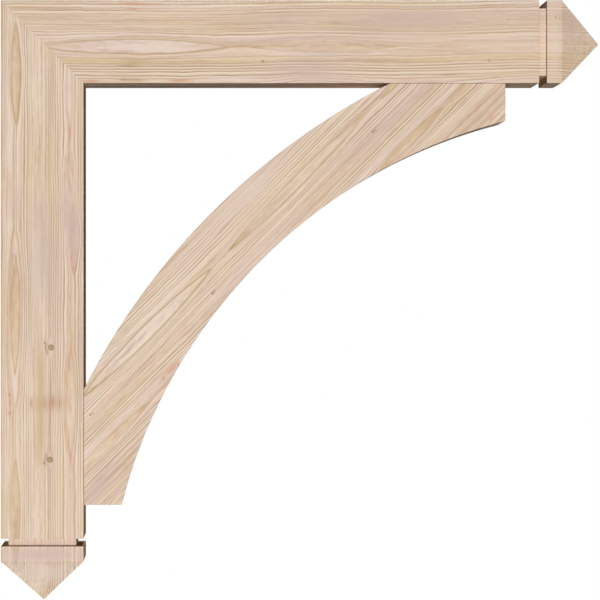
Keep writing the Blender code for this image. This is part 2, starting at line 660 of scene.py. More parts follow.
        # Each curve holds one value a ring, read at the middle of that ring's step.
        middle = add(tree, MATH, (ring, 1 / (count + 1), 0.5 / (count + 1)), "MULTIPLY_ADD")
        middles = [(i + 0.5) / (count + 1) for i in range(count + 1)]
        gap, started, coming = (
            add(tree, "ShaderNodeFloatCurve", {"Value": middle}, points=list(zip(middles, values)))
            for values in ([gap / widest for gap in gaps], depths, depths[1:])
        )
        past = add(tree, MATH, (part, gap), "MULTIPLY")
        to_go = add(tree, MATH, (gap, past), "SUBTRACT")
        ramps = {"From Min": self.LATE_WIDTH / widest, "From Max": 0.0}
        late = add(tree, "ShaderNodeMapRange", {"Value": to_go} | ramps)
        late = add(tree, MATH, (late, coming), "MULTIPLY")
        sharp = self.SHARP_WIDTH / widest
        ramps = {"From Min": sharp + self.EARLY_WIDTH / widest, "From Max": sharp}
        early = add(tree, "ShaderNodeMapRange", {"Value": past} | ramps)
        early = add(tree, MATH, (early, started), "MULTIPLY")
        spot = add(tree, "ShaderNodeCombineXYZ", {"X": self.along, "Y": self.flow})
        start = (self.figure.seed, self.FADE_START, 0.0)
        spot = add(tree, VECTOR, (spot, self.FADE_CELLS, start), "MULTIPLY_ADD")
        noise = add(tree, "ShaderNodeTexNoise", {"Vector": spot, "Scale": 1.0, "Detail": 2.0})
        vary = add(tree, "ShaderNodeMapRange", {"Value": noise} | self.FADE_RANGE)
        for _, drawn in self.marks:
            outside = add(tree, MATH, (1.0, drawn.outputs["Inside"]), "SUBTRACT")
            vary = add(tree, MATH, (vary, outside), "MULTIPLY")
        late = add(tree, MATH, (late, vary), "MULTIPLY")
        early = add(tree, MATH, (early, vary), "MULTIPLY")
        return late, early

    def fine_work(self, colour: Source, fibres: Source, late: Source, early: Source) -> Source:
        """Lays the fine work over the broad tones: fibres, rings, the lenses' outlines, veils and knots.

        Args:
            colour: The colour under it.
            fibres: The fibres, about a half.
            late: How dark the latewood is.
            early: How pale the earlywood is.

        Returns:
            The colour.
        """
        tree = self.tree
        layers = []
        for tone, full, cover in self.FIBRE_TONES:
            limits = {"From Min": self.FIBRE_MIDDLE, "From Max": full, "To Max": cover * self.figure.fibre}
            layers.append((tone, add(tree, "ShaderNodeMapRange", {"Value": fibres} | limits)))
        early = add(tree, MATH, (early, self.EARLY_COVER), "MULTIPLY")
        layers += [(Tone.EARLYWOOD, early), (Tone.LATEWOOD, late)]
        for lens, drawn in self.marks:
            if lens.edge:
                cover = add(tree, MATH, (drawn.outputs["Rim"], lens.edge), "MULTIPLY")
                layers.append((lens.rim, cover))
        layers += self._patches(self.figure.veils)
        for knot in self.figure.knots:
            places = {"Along": self.moved, "Across": self.seen, "At": knot.along, "Over": knot.across}
            drawn = add(tree, "ShaderNodeGroup", places | {"Radius": knot.radius}, node_tree=self.groups.knot)
            for tone, mark in ((Tone.KNOT_HEART, "Disc"), (Tone.KNOT, "Edge")):
                cover = add(tree, MATH, (drawn.outputs[mark], knot.strength), "MULTIPLY")
                layers.append((tone, cover))
        return self._lay(colour, layers)

    def end_grain(self, colour: Source) -> Source:
        """Darkens the wood where it is cut straight across the grain.

        Args:
            colour: The colour under it.

        Returns:
            The colour.
        """
        facing = add(self.tree, "ShaderNodeNewGeometry").outputs["True Normal"]
        facing = add(self.tree, VECTOR, (facing, self.grain.along), "DOT_PRODUCT")
        facing = add(self.tree, MATH, (facing,), "ABSOLUTE")
        cover = add(self.tree, "ShaderNodeMapRange", {"Value": facing} | self.END_RANGE)
        return self._lay(colour, [(Tone.END_GRAIN, cover)])


@dataclass(frozen=True)
class SandedFir:
    """Douglas fir, planed and sanded, unfinished: pale earlywood, thin darker latewood, and a dry low sheen.

    Attributes:
        name: The material's name.
        grain: Which way its grain runs.
        figure: What its wood shows.
    """

    name: str
    grain: GrainFrame
    figure: Figure

    IOR = 1.53  # cellulose and lignin
    SPECULAR = 0.3
    ROUGHNESS = (0.52, 0.66)  # latewood takes the sanding smoother than earlywood
    RELIEF = 0.12 * MM  # how far latewood stands proud after sanding
    LATE_HEIGHT = 0.7  # the latewood's part in that relief, beside the fibres
    BUMP = 0.6

    def build(self, groups: FigureGroups) -> bpy.types.Material:
        """Builds the material.

        Args:
            groups: The groups that draw single figures.

        Returns:
            The material.
        """
        material = bpy.data.materials.new(self.name)
        material.use_nodes = True
        tree = material.node_tree
        shader = tree.nodes["Principled BSDF"]
        shader.inputs["IOR"].default_value = self.IOR
        shader.inputs["Specular IOR Level"].default_value = self.SPECULAR
        drawing = FigureDrawing(tree, groups, self.grain, self.figure)
        fibres = drawing.fibres()
        late, early = drawing.rings()
        colour = drawing.end_grain(drawing.fine_work(drawing.tones(), fibres, late, early))
        smooth, dry = self.ROUGHNESS
        rough = add(tree, "ShaderNodeMapRange", {"Value": fibres, "To Min": dry, "To Max": smooth})
        rough = add(tree, MATH, (late, smooth - dry, rough), "MULTIPLY_ADD")
        height = add(tree, MATH, (late, self.LATE_HEIGHT, fibres), "MULTIPLY_ADD")
        bump = add(tree, "ShaderNodeBump", {"Strength": self.BUMP, "Distance": self.RELIEF, "Height": height})
        for name, value in (("Base Color", colour), ("Roughness", rough), ("Normal", bump)):
            tree.links.new(output(value), shader.inputs[name])
        return material


BEAM_FIGURE = Figure(
    span=(-1.0, 6.5),
    rings=(
        Ring(-0.6, 0.6), Ring(-0.25, 0.5), Ring(0.13, 0.5), Ring(0.31, 0.7), Ring(0.58, 0.5),
        Ring(0.73, 0.9), Ring(0.98, 0.25), Ring(1.16, 0.2), Ring(1.33, 0.3), Ring(1.48, 0.2),
        Ring(1.64, 0.35), Ring(1.8, 0.25), Ring(1.96, 0.3), Ring(2.14, 0.6), Ring(2.36, 0.8),
        Ring(2.98, 0.3), Ring(3.13, 0.4), Ring(3.79, 0.65), Ring(4.25, 0.5), Ring(4.43, 0.95),
        Ring(4.62, 0.95), Ring(4.8, 1.0), Ring(5.08, 0.9), Ring(5.27, 0.6), Ring(5.6, 0.5), Ring(5.95, 0.6),
    ),
    bands=(
        Band(-1.0, Tone.BUFF), Band(0.0, Tone.BUFF), Band(0.45, Tone.CREAM), Band(0.8, Tone.BUFF),
        Band(1.1, Tone.BUFF), Band(1.8, Tone.BUFF), Band(2.2, Tone.CREAM), Band(2.55, Tone.PALE_PINK),
        Band(3.05, Tone.BUFF), Band(3.25, Tone.PALE_PINK), Band(3.68, Tone.PALE_PINK),
        Band(3.86, Tone.OLIVE), Band(4.15, Tone.OLIVE), Band(4.3, Tone.CREAM), Band(4.7, Tone.BUFF),
        Band(4.93, Tone.CREAM), Band(5.35, Tone.BUFF), Band(5.6, Tone.PALE_PINK), Band(6.5, Tone.BUFF),
    ),
    lenses=(
        Lens(26.0, 1.35, 11.0, 0.32, Tone.MAUVE, 0.3, edge=0.0, taper=2.0),
        Lens(8.9, 3.06, 6.3, 0.53, Tone.PALE_PINK, 0.85, edge=0.8),
        Lens(21.4, 3.1, 5.0, 0.4, Tone.ROSE, 0.4, edge=0.35),
        Lens(32.0, 3.1, 5.2, 0.2, Tone.BUFF, 0.4, edge=0.0),
        Lens(21.0, 6.9, 8.5, 1.1, fill=0.0, edge=0.0, taper=2.5),
        Lens(36.0, 6.9, 11.0, 1.3, fill=0.0, edge=0.0, taper=2.5),
    ),
    knots=(
        Knot(17.4, 4.05, 0.09, 0.5), Knot(32.4, 4.02, 0.08, 0.4), Knot(33.7, 1.25, 0.07, 0.25),
        Knot(36.85, 1.12, 0.07, 0.5), Knot(37.1, 1.15, 0.06, 0.4),
    ),
    patches=(
        Patch(15.9, 3.04, 1.6, 0.12, Tone.RUSSET, 0.65), Patch(19.0, 3.0, 1.4, 0.2, Tone.OLIVE, 0.6),
        Patch(23.0, 3.1, 2.4, 0.3, Tone.TAN, 0.8), Patch(30.2, 3.3, 1.8, 0.16, Tone.RUSSET, 0.4),
        Patch(34.4, 3.2, 1.0, 0.14, Tone.RUSSET, 0.45), Patch(9.2, 5.3, 0.2, 0.07, Tone.LATEWOOD, 0.5),
        Patch(10.5, 4.6, 3.4, 0.5, Tone.OLIVE, 0.7), Patch(29.0, 4.5, 3.6, 0.4, Tone.CREAM, 0.7),
        Patch(33.5, 2.9, 2.8, 0.4, Tone.CREAM, 0.6),
    ),
    veils=(
        Patch(4.2, 3.02, 1.2, 0.16, Tone.BUFF, 0.8), Patch(13.2, 3.04, 1.5, 0.13, Tone.BUFF, 0.8),
        Patch(11.9, 5.33, 0.8, 0.1, Tone.RUSSET, 1.0), Patch(6.0, 5.4, 0.7, 0.09, Tone.RUSSET, 0.9),
        Patch(8.7, 5.3, 0.9, 0.12, Tone.LATEWOOD_GOLD, 0.6),
        Patch(8.1, 5.28, 0.2, 0.07, Tone.LATEWOOD, 0.5), Patch(8.7, 0.24, 0.8, 0.1, Tone.RUSSET, 0.8),
        Patch(8.75, 0.57, 0.4, 0.07, Tone.RUSSET, 0.8), Patch(8.8, 4.05, 1.1, 0.2, Tone.LATEWOOD_GOLD, 0.5),
        Patch(8.3, 4.35, 0.7, 0.07, Tone.LATEWOOD, 0.6), Patch(6.0, 4.0, 3.0, 0.18, Tone.OLIVE, 0.7),
        Patch(30.0, 3.2, 8.0, 2.0, Tone.TAN, 0.28), Patch(27.0, 1.25, 4.6, 0.7, Tone.MAUVE, 0.75),
        Patch(18.3, 1.5, 2.6, 0.5, Tone.MAUVE, 0.4), Patch(20.3, 4.75, 2.4, 0.6, Tone.MAUVE, 0.7),
        Patch(15.6, 5.27, 2.0, 0.17, Tone.PALE_PINK, 0.9), Patch(14.9, 5.02, 0.8, 0.04, Tone.LATEWOOD, 0.6),
        Patch(32.8, 5.1, 0.3, 0.06, Tone.LATEWOOD, 0.35), Patch(33.2, 5.3, 0.2, 0.06, Tone.RUSSET, 0.5),
        Patch(26.8, 5.3, 0.8, 0.08, Tone.RUSSET, 0.4), Patch(29.8, 4.98, 0.9, 0.05, Tone.LATEWOOD, 0.5),
        Patch(36.7, 2.8, 0.45, 2.6, Tone.CREAM, 0.5), Patch(38.5, 1.4, 1.1, 1.0, Tone.MAUVE, 0.65),
        Patch(38.3, 4.1, 1.1, 0.8, Tone.TAN, 0.6), Patch(38.9, 2.8, 1.1, 2.6, Tone.BUFF, 0.45),
    ),
    seed=3.0,
)

POST_FIGURE = Figure(
    span=(-1.0, 6.5),
    rings=(
        Ring(-0.5, 0.5), Ring(-0.15, 0.4), Ring(0.13, 0.6), Ring(0.27, 0.5), Ring(0.43, 0.4),
        Ring(0.9, 0.6), Ring(1.04, 0.6), Ring(1.38, 0.5), Ring(1.58, 0.9), Ring(1.78, 0.55),
        Ring(1.92, 0.5), Ring(2.06, 0.35), Ring(2.3, 0.25), Ring(2.5, 0.2), Ring(2.78, 0.2),
        Ring(3.02, 0.4), Ring(3.22, 0.5), Ring(3.36, 0.6), Ring(3.51, 0.65), Ring(3.66, 0.7),
        Ring(3.83, 0.7), Ring(4.0, 0.65), Ring(4.22, 1.0), Ring(4.5, 0.3), Ring(4.66, 0.3), Ring(4.96, 0.9),
        Ring(5.2, 0.8), Ring(5.33, 0.6), Ring(5.7, 0.5), Ring(6.1, 0.5),
    ),
    bands=(
        Band(-1.0, Tone.BUFF), Band(0.0, Tone.ROSE), Band(0.33, Tone.PALE_PINK), Band(0.6, Tone.CREAM),
        Band(1.15, Tone.CREAM), Band(1.42, Tone.CREAM), Band(1.7, Tone.CREAM), Band(2.1, Tone.CREAM),
        Band(2.9, Tone.CREAM), Band(3.3, Tone.ROSE), Band(3.75, Tone.CREAM), Band(4.1, Tone.CREAM),
        Band(4.32, Tone.CREAM), Band(4.6, Tone.PALE_PINK), Band(4.85, Tone.CREAM), Band(5.1, Tone.CREAM),
        Band(5.4, Tone.TAN), Band(6.5, Tone.TAN),
    ),
    lenses=(
        Lens(4.9, 0.97, 3.5, 0.37, Tone.TAN, 0.9, edge=0.7),
        Lens(21.2, 0.97, 5.9, 0.46, Tone.PALE_PINK, 0.5, Tone.RUSSET, 0.6, taper=0.6),
        Lens(20.9, 0.97, 4.1, 0.36, Tone.TAN, 0.85, edge=0.6, taper=0.8, nested=True),
        Lens(33.9, 0.97, 3.6, 0.36, Tone.TAN, 0.8, edge=0.4),
        Lens(6.2, 4.58, 2.8, 0.22, Tone.PALE_PINK, 0.6, edge=0.4),
        Lens(11.4, 4.6, 1.5, 0.26, Tone.ROSE, 0.5, Tone.RUSSET, 0.5),
        Lens(15.6, 4.86, 2.7, 0.34, Tone.MAUVE, 0.2, Tone.RUSSET, 0.3, taper=1.0),
        Lens(26.8, 4.66, 3.6, 0.36, Tone.BUFF, 0.5, edge=0.25),
        Lens(13.3, 4.4, 5.5, 0.26, fill=0.0, edge=0.0, taper=2.0),
    ),
    knots=(
        Knot(23.05, 3.32, 0.18, 0.75), Knot(30.5, 3.32, 0.18, 0.75), Knot(22.75, 2.89, 0.06, 0.6),
        Knot(30.75, 2.89, 0.06, 0.6),
    ),
    patches=(
        Patch(9.5, 2.5, 2.6, 0.5, Tone.OLIVE, 0.45), Patch(10.6, 0.95, 1.6, 0.14, Tone.ROSE, 0.7),
        Patch(25.2, 3.85, 0.8, 0.25, Tone.PALE_PINK, 0.6),
        Patch(28.6, 3.85, 0.8, 0.25, Tone.PALE_PINK, 0.6), Patch(34.5, 4.6, 1.5, 0.3, Tone.MAUVE, 0.3),
        # The pale patch at 38.9 along is painted light: it brightens the point's lower front facet as light
        # from below would.
        Patch(10.0, 4.6, 2.0, 0.5, Tone.CREAM, 0.4), Patch(38.9, 2.75, 1.2, 1.8, Tone.EARLYWOOD, 0.3),
    ),
    veils=(
        Patch(8.9, 4.58, 0.6, 0.09, Tone.RUSSET, 0.95), Patch(9.8, 4.46, 0.5, 0.06, Tone.RUSSET, 0.6),
        Patch(17.9, 4.86, 0.3, 0.07, Tone.RUSSET, 0.8), Patch(14.1, 2.65, 0.8, 0.4, Tone.MAUVE, 0.6),
        Patch(17.5, 2.8, 2.6, 0.7, Tone.MAUVE, 0.7), Patch(14.0, 4.3, 1.0, 0.4, Tone.MAUVE, 0.6),
        Patch(13.2, 4.9, 0.7, 0.35, Tone.BUFF, 0.8), Patch(15.25, 4.68, 0.3, 0.1, Tone.LATEWOOD, 0.3),
        Patch(15.3, 4.75, 1.6, 0.45, Tone.MAUVE, 0.85), Patch(17.3, 4.7, 0.8, 0.05, Tone.RUSSET, 0.6),
        Patch(13.6, 1.0, 1.2, 0.25, Tone.MAUVE, 0.5), Patch(23.2, 4.65, 0.45, 0.06, Tone.RUSSET, 1.0),
        Patch(24.1, 4.5, 0.6, 0.07, Tone.RUSSET, 0.8), Patch(25.1, 4.33, 0.6, 0.08, Tone.RUSSET, 0.6),
        Patch(30.35, 4.65, 0.45, 0.06, Tone.RUSSET, 1.0), Patch(29.4, 4.5, 0.6, 0.07, Tone.RUSSET, 0.8),
        Patch(28.4, 4.33, 0.6, 0.08, Tone.RUSSET, 0.6), Patch(26.8, 3.28, 3.0, 0.03, Tone.LATEWOOD, 1.0),
        Patch(26.75, 3.45, 0.4, 0.18, Tone.RUSSET, 0.45), Patch(26.75, 3.4, 0.5, 1.0, Tone.RUSSET, 0.25),
        Patch(26.75, 2.9, 0.45, 1.0, Tone.LATEWOOD, 0.22),
        Patch(26.75, 2.7, 0.45, 0.25, Tone.LATEWOOD, 0.3), Patch(26.75, 2.08, 0.3, 0.1, Tone.LATEWOOD, 0.5),
        Patch(26.6, 3.45, 0.35, 0.1, Tone.LATEWOOD, 0.4), Patch(26.75, 2.4, 0.5, 0.3, Tone.TAN, 0.6),
        Patch(26.75, 2.88, 0.3, 0.1, Tone.LATEWOOD_GOLD, 0.6),
        Patch(26.75, 3.92, 0.4, 0.1, Tone.LATEWOOD, 0.35), Patch(26.75, 4.4, 0.5, 0.25, Tone.RUSSET, 0.35),
        Patch(26.2, 0.6, 0.12, 0.13, Tone.RUSSET, 1.0), Patch(27.4, 0.6, 0.12, 0.13, Tone.RUSSET, 1.0),
        Patch(26.8, 0.6, 0.6, 0.08, Tone.RUSSET, 0.8), Patch(24.6, 2.68, 1.8, 0.26, Tone.TAN, 0.9),
        Patch(29.0, 2.68, 1.8, 0.26, Tone.TAN, 0.9), Patch(26.8, 2.68, 1.6, 0.24, Tone.TAN, 0.7),
        Patch(26.8, 2.68, 4.2, 0.24, Tone.LATEWOOD_GOLD, 0.3),
        Patch(22.95, 2.97, 0.3, 0.07, Tone.LATEWOOD, 0.7),
        Patch(23.35, 3.08, 0.16, 0.08, Tone.LATEWOOD, 0.6),
        Patch(30.65, 2.97, 0.3, 0.07, Tone.LATEWOOD, 0.7),
        # The mauve patches at 36.8 and 37.0 along darken the collar. They are partly the wood's mauve-grey
        # tone and partly painted shade that offsets the low light.
        Patch(30.25, 3.08, 0.16, 0.08, Tone.LATEWOOD, 0.6), Patch(36.8, 2.75, 0.45, 2.6, Tone.MAUVE, 0.9),
        # The pale pink patch at 38.7 along is painted light on the point's lower front facet, as light from
        # below would fall.
        Patch(37.0, 2.75, 0.5, 2.6, Tone.MAUVE, 0.3), Patch(38.7, 2.75, 1.2, 2.2, Tone.PALE_PINK, 0.6),
    ),
    seed=11.0,
)

BRACE_FIGURE = Figure(
    span=(19.0, 30.0),
    rings=(
        Ring(19.6, 0.3), Ring(20.0, 0.2), Ring(20.3, 0.25), Ring(20.47, 0.25), Ring(20.66, 0.5),
        Ring(20.85, 0.55), Ring(21.03, 0.5), Ring(21.25, 0.65), Ring(21.45, 0.6), Ring(21.66, 0.9),
        Ring(22.38, 0.3), Ring(22.52, 0.3), Ring(23.01, 0.8), Ring(23.18, 0.8), Ring(23.36, 0.7),
        Ring(23.62, 0.2), Ring(23.88, 0.2), Ring(24.12, 0.2), Ring(24.38, 0.25), Ring(24.7, 0.8),
        Ring(24.89, 0.9), Ring(25.06, 0.5), Ring(25.2, 0.3), Ring(25.72, 0.4), Ring(25.86, 0.4),
        Ring(26.32, 0.95), Ring(26.48, 0.7), Ring(26.65, 0.6), Ring(26.84, 0.4), Ring(27.2, 0.2),
        Ring(27.55, 0.25), Ring(27.9, 0.5), Ring(28.06, 0.5), Ring(28.22, 0.5), Ring(28.38, 0.5),
        Ring(28.54, 0.5), Ring(28.75, 0.4), Ring(29.1, 0.3), Ring(29.5, 0.3),
    ),
    bands=(
        Band(19.0, Tone.BUFF), Band(20.5, Tone.BUFF), Band(21.2, Tone.CREAM), Band(21.9, Tone.CREAM),
        Band(22.3, Tone.PALE_PINK), Band(22.45, Tone.BUFF), Band(22.8, Tone.CREAM), Band(23.3, Tone.CREAM),
        Band(23.6, Tone.ROSE), Band(24.4, Tone.ROSE), Band(24.8, Tone.CREAM), Band(25.3, Tone.PALE_PINK),
        Band(25.8, Tone.BUFF), Band(26.15, Tone.BUFF), Band(26.6, Tone.CREAM), Band(27.1, Tone.BUFF),
        Band(27.8, Tone.ROSE), Band(28.4, Tone.BUFF), Band(30.0, Tone.BUFF),
    ),
    lenses=(
        Lens(-8.8, 22.42, 6.2, 0.5, Tone.PALE_PINK, 0.85, edge=1.0),
        Lens(5.5, 22.42, 6.7, 0.42, Tone.BUFF, 0.6, edge=0.75),
        Lens(16.8, 22.42, 3.8, 0.27, Tone.OLIVE, 0.7),
        Lens(-16.2, 25.82, 4.6, 0.3, Tone.TAN, 0.8, edge=0.35),
        Lens(12.7, 25.78, 3.2, 0.34, Tone.TAN, 0.85, edge=0.6),
        Lens(18.0, 25.88, 1.9, 0.24, Tone.TAN, 0.8, edge=0.35),
    ),
    knots=(
        Knot(-15.25, 23.65, 0.07, 0.6), Knot(-15.05, 23.67, 0.06, 0.5), Knot(-3.8, 23.66, 0.08, 0.6),
        Knot(-3.62, 23.64, 0.06, 0.5), Knot(11.3, 23.65, 0.08, 0.6), Knot(11.5, 23.68, 0.06, 0.5),
        Knot(-10.1, 25.38, 0.09, 0.35), Knot(-8.75, 25.4, 0.08, 0.3),
    ),
    patches=(
        Patch(-13.5, 22.4, 1.3, 0.3, Tone.OLIVE, 0.6), Patch(-4.2, 22.4, 1.2, 0.25, Tone.OLIVE, 0.6),
        Patch(0.8, 22.45, 1.2, 0.2, Tone.TAN, 0.4), Patch(6.5, 22.5, 1.8, 0.25, Tone.CREAM, 0.5),
        Patch(10.9, 22.4, 0.8, 0.15, Tone.RUSSET, 0.3), Patch(-6.0, 24.1, 2.5, 0.3, Tone.RUSSET, 0.25),
        Patch(12.5, 25.28, 3.8, 0.1, Tone.CREAM, 0.5), Patch(-8.0, 23.5, 9.0, 3.0, Tone.EARLYWOOD, 0.25),
        Patch(-7.5, 20.8, 1.5, 0.3, Tone.TAN, 0.5), Patch(-14.5, 26.9, 1.6, 0.4, Tone.TAN, 0.4),
        Patch(17.5, 27.2, 1.2, 0.6, Tone.TAN, 0.4),
    ),
    veils=(
        Patch(9.0, 22.45, 2.2, 0.15, Tone.CREAM, 0.8), Patch(5.0, 22.45, 2.5, 0.14, Tone.CREAM, 0.5),
        Patch(11.6, 22.45, 0.7, 0.08, Tone.TAN, 0.9), Patch(0.5, 24.0, 3.6, 0.45, Tone.PALE_PINK, 0.35),
        Patch(13.5, 24.0, 3.2, 0.4, Tone.MAUVE, 0.5), Patch(-18.5, 27.4, 1.3, 0.4, Tone.MAUVE, 0.75),
        Patch(-9.3, 25.3, 0.7, 0.22, Tone.RUSSET, 0.8), Patch(17.5, 28.5, 0.3, 0.25, Tone.RUSSET, 0.6),
        Patch(2.5, 20.7, 4.0, 0.75, Tone.PALE_PINK, 0.65), Patch(0.0, 21.12, 1.2, 0.04, Tone.LATEWOOD, 0.7),
        Patch(1.6, 22.1, 1.3, 1.2, Tone.BUFF, 0.5),
    ),
    seed=23.0,
    fibre=1.25,
)


@dataclass
class Timber:
    """One timber of the bracket, as a finished piece that stands for its solid.

    Attributes:
        node: The solid's name, which is the record's material slot too.
        grain: Which way its grain runs.
        figure: What its wood shows.
        arris: How far its sharp edges are eased, in millimetres.
    """

    node: str
    grain: GrainFrame
    figure: Figure
    arris: float = 0.9
    ARRIS_STEPS = 2
    ARRIS_ANGLE = 30.0  # edges sharper than this are eased

    def mesh(self, wood: bpy.types.Material) -> bpy.types.Mesh:
        """Builds the shape in its wood. Each kind of timber does it its own way."""
        raise NotImplementedError

    def finish(self, groups: FigureGroups) -> bpy.types.Object:
        """Builds the piece and dresses it.

        Args:
            groups: The groups that draw single figures.

        Returns:
            The finished piece.
        """
        wood = SandedFir(f"douglas_fir_sanded_{self.node}", self.grain, self.figure).build(groups)
        piece = bpy.data.objects.new(f"{self.node}_timber", self.mesh(wood))
        bpy.context.scene.collection.objects.link(piece)
        for face in piece.data.polygons:
            face.use_smooth = True
        ease = piece.modifiers.new("eased_arris", "BEVEL")
        ease.width = self.arris * MM
        ease.segments = self.ARRIS_STEPS
        ease.limit_method = "WEIGHT"
        ease.harden_normals = True
        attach(piece, BODY)
        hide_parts(self.node)
        LOG.info("%s: %d faces before its arrises are eased", piece.name, len(piece.data.polygons))
        return piece


@dataclass
class Arm(Timber):
    """The post or the beam: mitred at the corner, with a groove, a collar and a four-sided point at its end.

    Attributes:
        length: From the outer corner to the tip, in inches.
        side: Across and deep, in inches.
        set_back: How far the mitre stands back from the outer corner, in inches.
        groove_width: In inches, and so are the rest.
        groove_depth: How far the groove is cut in on each side.
        collar: The plain length between the groove and the point.
        point: The length of the point.
    """

    length: float = 40.0
    side: float = 5.5
    set_back: float = 0.0
    groove_width: float = 0.5
    groove_depth: float = 0.5
    collar: float = 1.0
    point: float = 2.75
    JOINT_SHARE = 0.1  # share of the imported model's gap that the glued mitre keeps
    MITRE_EASE = 0.0  # share of the arris's easing that the joint gets: the two arms meet flush
    POINT_EASE = 0.3  # the share that the point's edges get: they come crisp off the saw

    def mesh(self, wood: bpy.types.Material) -> bpy.types.Mesh:
        """Builds the arm from its sections.

        Args:
            wood: Its material.

        Returns:
            The mesh.
        """
        shoulder = self.length - self.point
        groove_end = shoulder - self.collar
        groove_start = groove_end - self.groove_width
        bm = bmesh.new()
        back = self.set_back * self.JOINT_SHARE
        sections = [
            self._section(bm, back, back + self.side, 0.0),
            self._section(bm, groove_start, groove_start, 0.0),
            self._section(bm, groove_start, groove_start, self.groove_depth),
            self._section(bm, groove_end, groove_end, self.groove_depth),
            self._section(bm, groove_end, groove_end, 0.0),
            self._section(bm, shoulder, shoulder, 0.0),
        ]
        bm.faces.new(sections[0])
        for near, far in zip(sections, sections[1:]):
            for i in range(4):
                j = (i + 1) % 4
                bm.faces.new((near[i], near[j], far[j], far[i]))
        tip = bm.verts.new(self.grain.point(self.length, self.side / 2, self.side / 2))
        for i in range(4):
            bm.faces.new((sections[-1][i], sections[-1][(i + 1) % 4], tip))
        bmesh.ops.recalc_face_normals(bm, faces=bm.faces)
        weight = bm.edges.layers.float.new("bevel_weight_edge")
        for edge in bm.edges:
            if edge.calc_face_angle() > math.radians(self.ARRIS_ANGLE):
                in_joint = all(v in sections[0] for v in edge.verts)
                on_point = tip in edge.verts
                edge[weight] = self.MITRE_EASE if in_joint else self.POINT_EASE if on_point else 1.0
                edge.smooth = not in_joint
        mesh = bpy.data.meshes.new(f"{self.node}_shape")
        bm.to_mesh(mesh)
        bm.free()
        mesh.materials.append(wood)
        return mesh

    def _section(
        self, bm: bmesh.types.BMesh, outer: float, inner: float, inset: float
    ) -> list[bmesh.types.BMVert]:
        """Adds four corners round the arm.

        Args:
            bm: The mesh that takes them.
            outer: How far along the outer face's corners lie, in inches.
            inner: How far along the inner face's corners lie, in inches.
            inset: How far they are drawn in from every face, in inches.

        Returns:
            The corners, in order.
        """
        far = self.side - inset
        places = ((outer, inset, inset), (outer, inset, far), (inner, far, far), (inner, far, inset))
        return [bm.verts.new(self.grain.point(*place)) for place in places]


